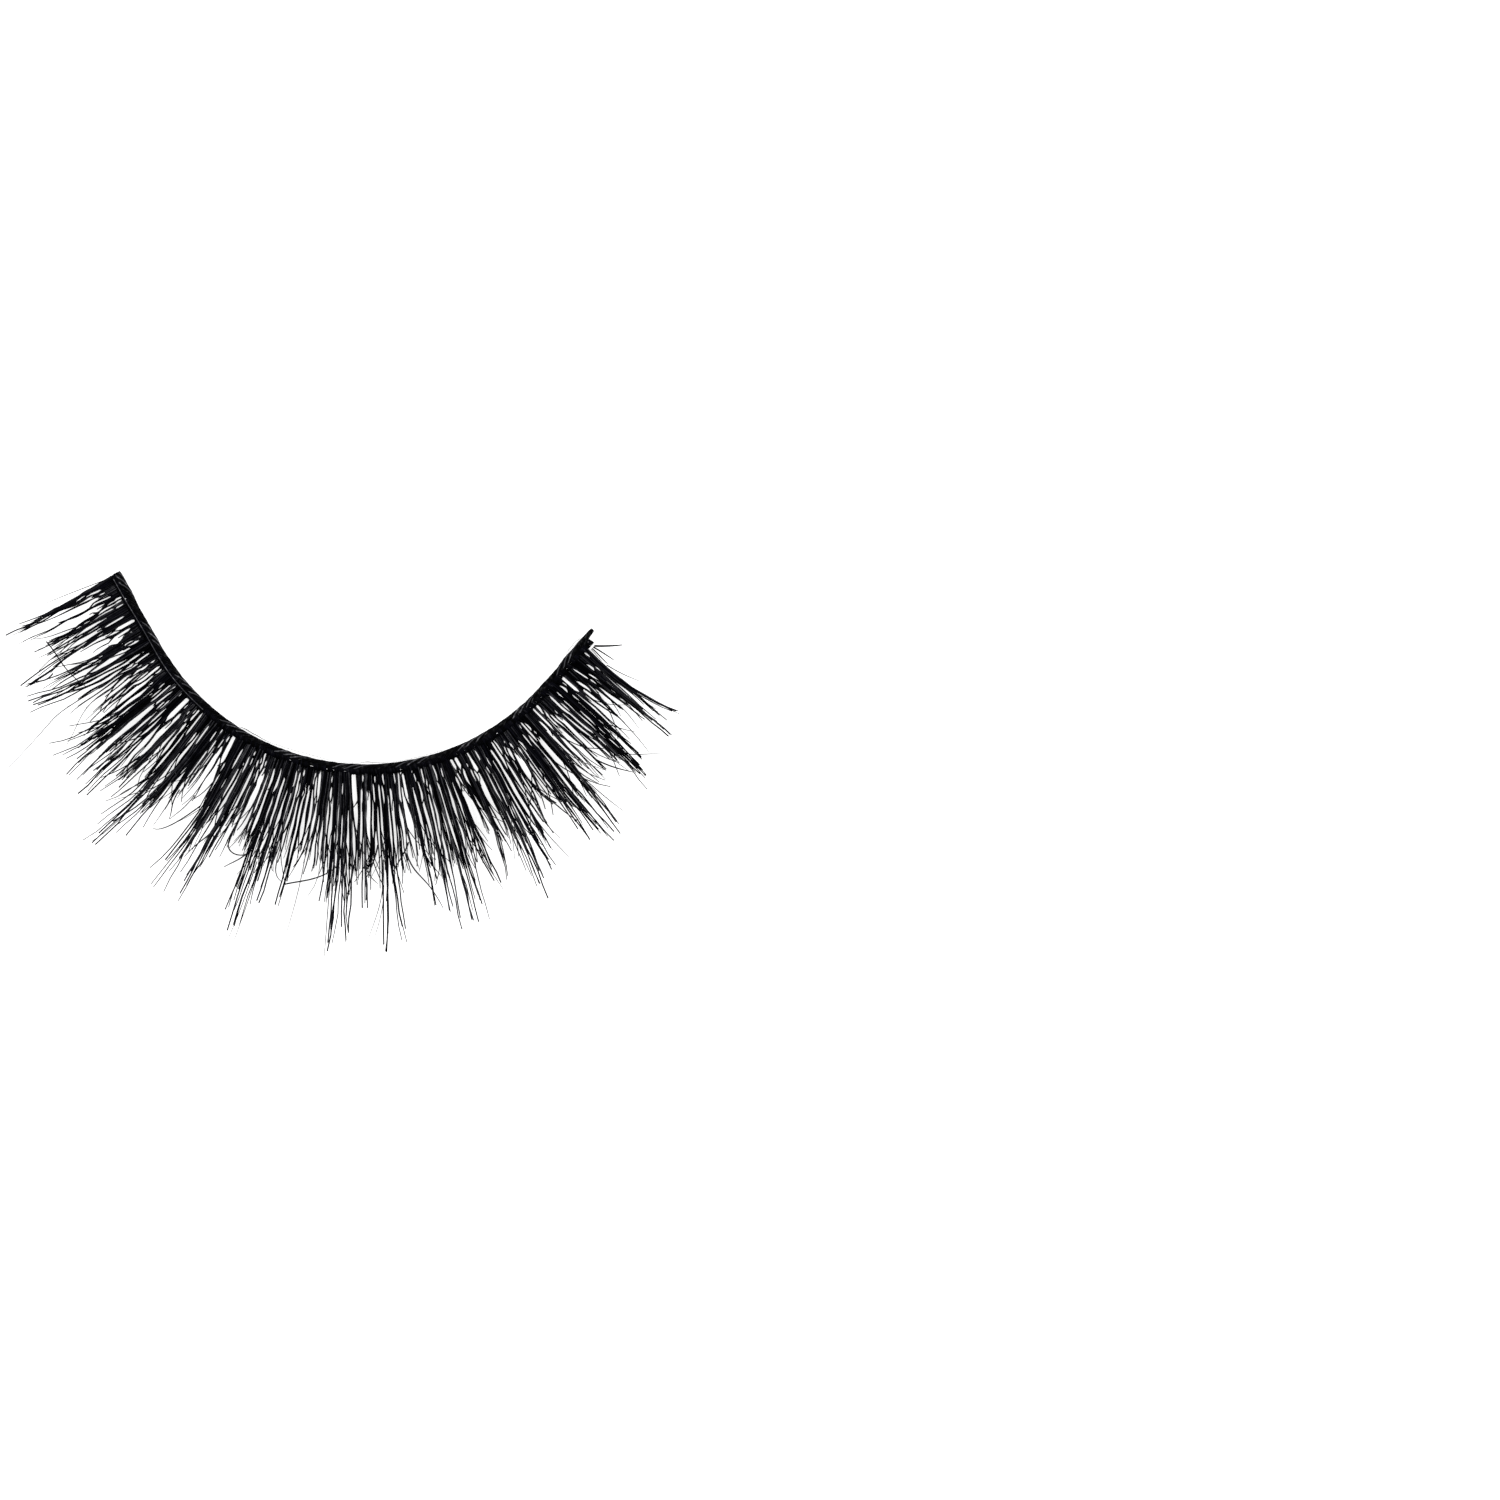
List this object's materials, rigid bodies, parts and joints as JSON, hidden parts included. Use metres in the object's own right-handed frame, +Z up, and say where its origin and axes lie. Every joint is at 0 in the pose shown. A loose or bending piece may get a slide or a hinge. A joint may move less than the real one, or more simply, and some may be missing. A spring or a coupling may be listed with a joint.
{
  "type": "false eyelash strip",
  "caption": "Curved thread band with a close layer of short tapering lash tufts and longer wispy spikes over it, all curling up.",
  "frame": {"origin": "on the flat underside of the core thread, at the middle of the band's bend", "axes": "+X along the strip towards the end worn at the nose, +Y into the hollow where the eyelid goes, +Z up, the way the lashes curl"},
  "size_m": [0.0362, 0.0203, 0.0046],
  "materials": {
    "band_thread": "matt black knotted thread",
    "lash_fibre": "black tapered synthetic fibre with a soft sheen",
    "clear_glue": "clear dried glue"
  },
  "bodies": {
    "root": {"core_thread": "band_thread", "knot_thread": "band_thread", "base_lashes": "lash_fibre", "spike_lashes": "lash_fibre", "glue_film_middle": "clear_glue", "glue_film_end": "clear_glue"}
  },
  "joints": []
}
